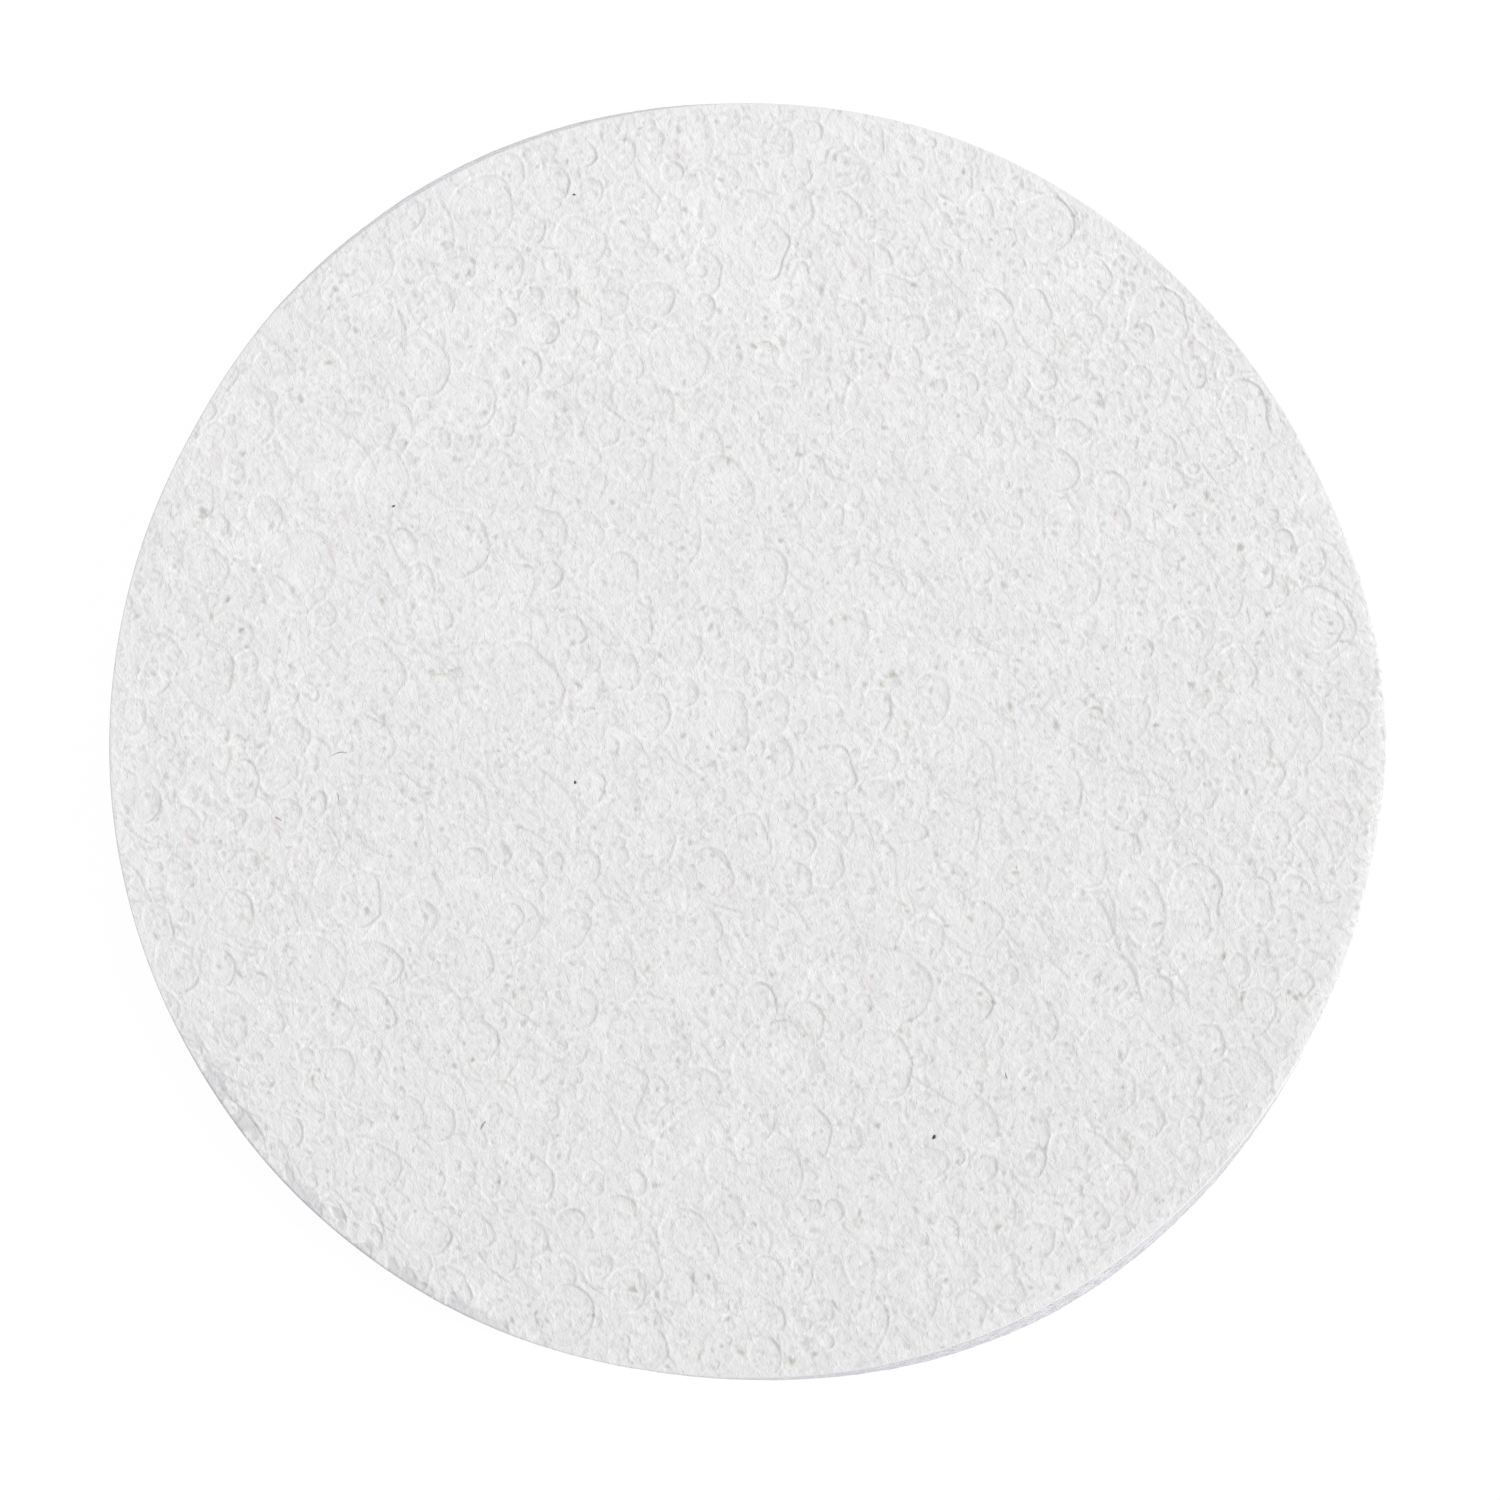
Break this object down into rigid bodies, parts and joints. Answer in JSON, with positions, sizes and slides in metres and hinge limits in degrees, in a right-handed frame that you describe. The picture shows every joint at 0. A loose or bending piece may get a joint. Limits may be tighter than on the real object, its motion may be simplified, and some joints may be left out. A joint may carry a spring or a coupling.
{
  "type": "konjac sponge",
  "caption": "Flat round cleansing sponge of dried, pressed konjac foam, with collapsed bubble cells on both faces and a clean-cut wall.",
  "frame": {"origin": "centre of the base, the face that the disc rests on", "axes": "+Z out of the upper face; +X and +Y in the face, along the picture's right and up"},
  "size_m": [0.08, 0.08, 0.003],
  "materials": {
    "konjac_foam": "matte",
    "plant_skin": "matte",
    "plant_hair": "matte"
  },
  "bodies": {
    "root": {"sponge_disc": "konjac_foam", "skin_flecks": "plant_skin", "plant_hairs": "plant_hair"}
  },
  "joints": []
}
